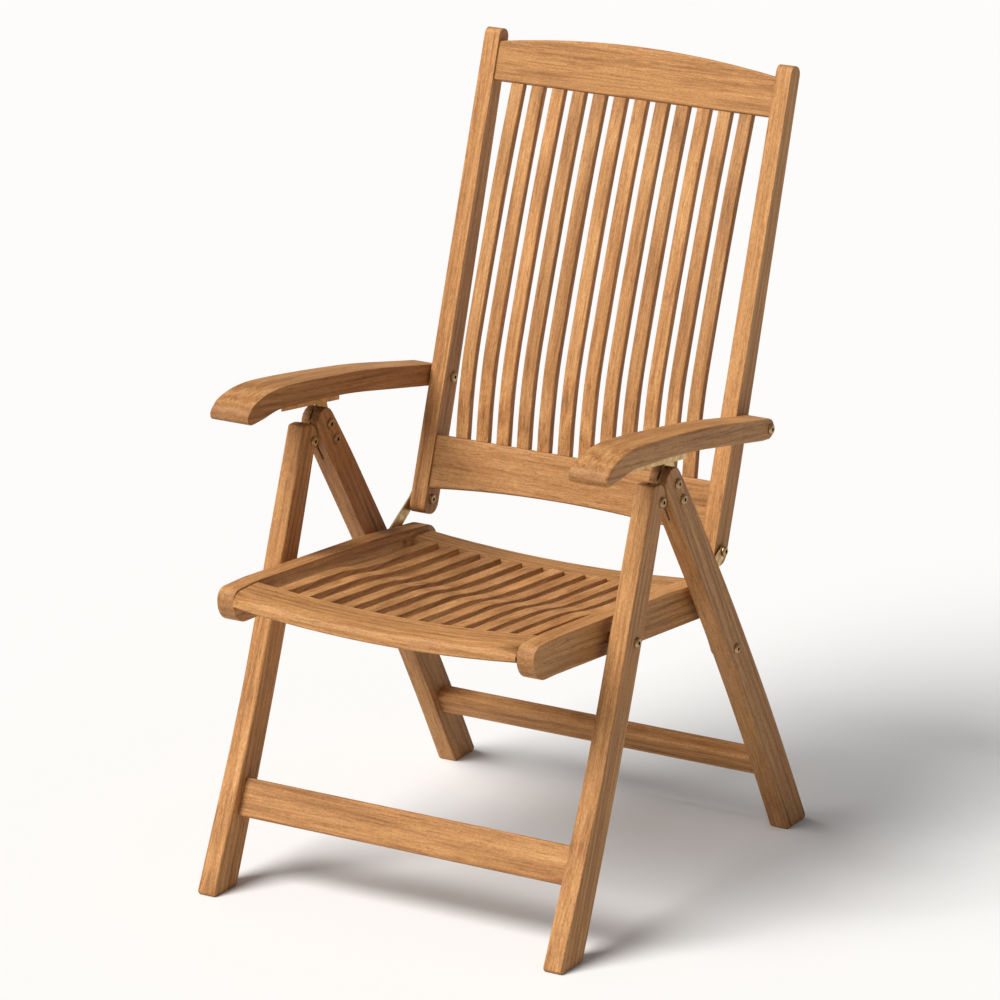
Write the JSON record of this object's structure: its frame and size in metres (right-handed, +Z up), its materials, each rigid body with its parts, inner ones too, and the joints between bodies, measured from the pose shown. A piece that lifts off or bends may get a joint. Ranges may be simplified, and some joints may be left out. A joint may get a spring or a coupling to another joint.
{
  "type": "folding position armchair",
  "caption": "Folding slatted wooden armchair with a reclining high back, curved arms resting on brass lugs, crossed legs and a folding seat.",
  "frame": {"origin": "on the floor, at the middle of the chair's overall box in width and depth", "axes": "+Z up, -Y the way the seat faces, +X to the left of a person sitting in it, which is parallel to every hinge"},
  "size_m": [0.6158, 0.728, 1.0829],
  "materials": {
    "teak_frame": "sanded teak, straight grain, unvarnished",
    "teak_seat": "sanded teak, straight grain, unvarnished",
    "teak_back": "sanded teak, straight grain, unvarnished",
    "teak_arm": "sanded teak, straight grain, unvarnished",
    "teak_slat": "sanded teak, straight grain, unvarnished",
    "brass_plate": "rolled brass plate, dulled",
    "brass_bolt": "turned brass, dulled, dark socket"
  },
  "bodies": {
    "rear_frame": {"rear_leg_left": "teak_frame", "rear_leg_right": "teak_frame", "rear_stretcher": "teak_frame", "leg_plate_left": "brass_plate", "leg_plate_right": "brass_plate", "link_bolt_left": "brass_bolt", "link_bolt_right": "brass_bolt"},
    "link_arms": {"seat_link_left": "brass_plate", "seat_link_right": "brass_plate"},
    "front_frame": {"front_leg_left": "teak_frame", "front_leg_right": "teak_frame", "front_stretcher": "teak_frame", "leg_bolt_left": "brass_bolt", "leg_bolt_right": "brass_bolt", "seat_bolt_left": "brass_bolt", "seat_bolt_right": "brass_bolt"},
    "seat": {"seat_side_rail_left": "teak_seat", "seat_side_rail_right": "teak_seat", "seat_front_rail": "teak_seat", "seat_rear_rail": "teak_seat", "seat_slat_01": "teak_slat", "seat_slat_02": "teak_slat", "seat_slat_03": "teak_slat", "seat_slat_04": "teak_slat", "seat_slat_05": "teak_slat", "seat_slat_06": "teak_slat", "seat_slat_07": "teak_slat", "seat_slat_08": "teak_slat", "seat_slat_09": "teak_slat", "seat_slat_10": "teak_slat", "seat_slat_11": "teak_slat", "seat_slat_12": "teak_slat"},
    "back_straps": {"back_strap_left": "brass_plate", "back_strap_right": "brass_plate"},
    "back": {"back_stile_left": "teak_back", "back_stile_right": "teak_back", "back_top_rail": "teak_back", "back_bottom_rail": "teak_back", "back_slat_01": "teak_slat", "back_slat_02": "teak_slat", "back_slat_03": "teak_slat", "back_slat_04": "teak_slat", "back_slat_05": "teak_slat", "back_slat_06": "teak_slat", "back_slat_07": "teak_slat", "back_slat_08": "teak_slat", "back_slat_09": "teak_slat", "back_slat_10": "teak_slat", "back_slat_11": "teak_slat", "back_slat_12": "teak_slat", "back_bolt_left": "brass_bolt", "back_bolt_right": "brass_bolt", "arm_bolt_left": "brass_bolt", "arm_bolt_right": "brass_bolt", "arm_washer_left": "brass_bolt", "arm_washer_right": "brass_bolt"},
    "arm_left": {"armrest_left": "teak_arm", "arm_channel_left": "brass_plate"},
    "arm_right": {"armrest_right": "teak_arm", "arm_channel_right": "brass_plate"}
  },
  "joints": [
    {"name": "front_fold", "type": "hinge", "parent": "rear_frame", "child": "front_frame", "pos_m": [0, -0.09403, 0.5834], "axis": [1, 0, 0], "range_deg": [0, 46]},
    {"name": "link_fold", "type": "hinge", "parent": "rear_frame", "child": "link_arms", "pos_m": [0, 0.11897, 0.3164], "axis": [1, 0, 0], "range_deg": [-197.1, 0]},
    {"name": "seat_fold", "type": "hinge", "parent": "front_frame", "child": "seat", "pos_m": [0, -0.15903, 0.406], "axis": [1, 0, 0], "range_deg": [-94.7, 0]},
    {"name": "strap_fold", "type": "hinge", "parent": "seat", "child": "back_straps", "pos_m": [0, 0.07697, 0.395], "axis": [1, 0, 0], "range_deg": [0, 94.7]},
    {"name": "back_recline", "type": "hinge", "parent": "back_straps", "child": "back", "pos_m": [0, 0.15017, 0.4416], "axis": [-1, 0, 0], "range_deg": [0, 33]},
    {"name": "arm_fold_left", "type": "hinge", "parent": "back", "child": "arm_left", "pos_m": [0, 0.20967, 0.6066], "axis": [1, 0, 0], "range_deg": [-93.9, 0]},
    {"name": "arm_fold_right", "type": "hinge", "parent": "back", "child": "arm_right", "pos_m": [0, 0.20967, 0.6066], "axis": [1, 0, 0], "range_deg": [-93.9, 0]}
  ],
  "couplings": [
    {"joint": "link_fold", "follows": "front_fold", "ratio": -4.2846},
    {"joint": "seat_fold", "follows": "front_fold", "ratio": -2.058},
    {"joint": "strap_fold", "follows": "front_fold", "ratio": 2.058},
    {"joint": "arm_fold_left", "follows": "front_fold", "ratio": -2.04},
    {"joint": "arm_fold_right", "follows": "front_fold", "ratio": -2.04}
  ]
}
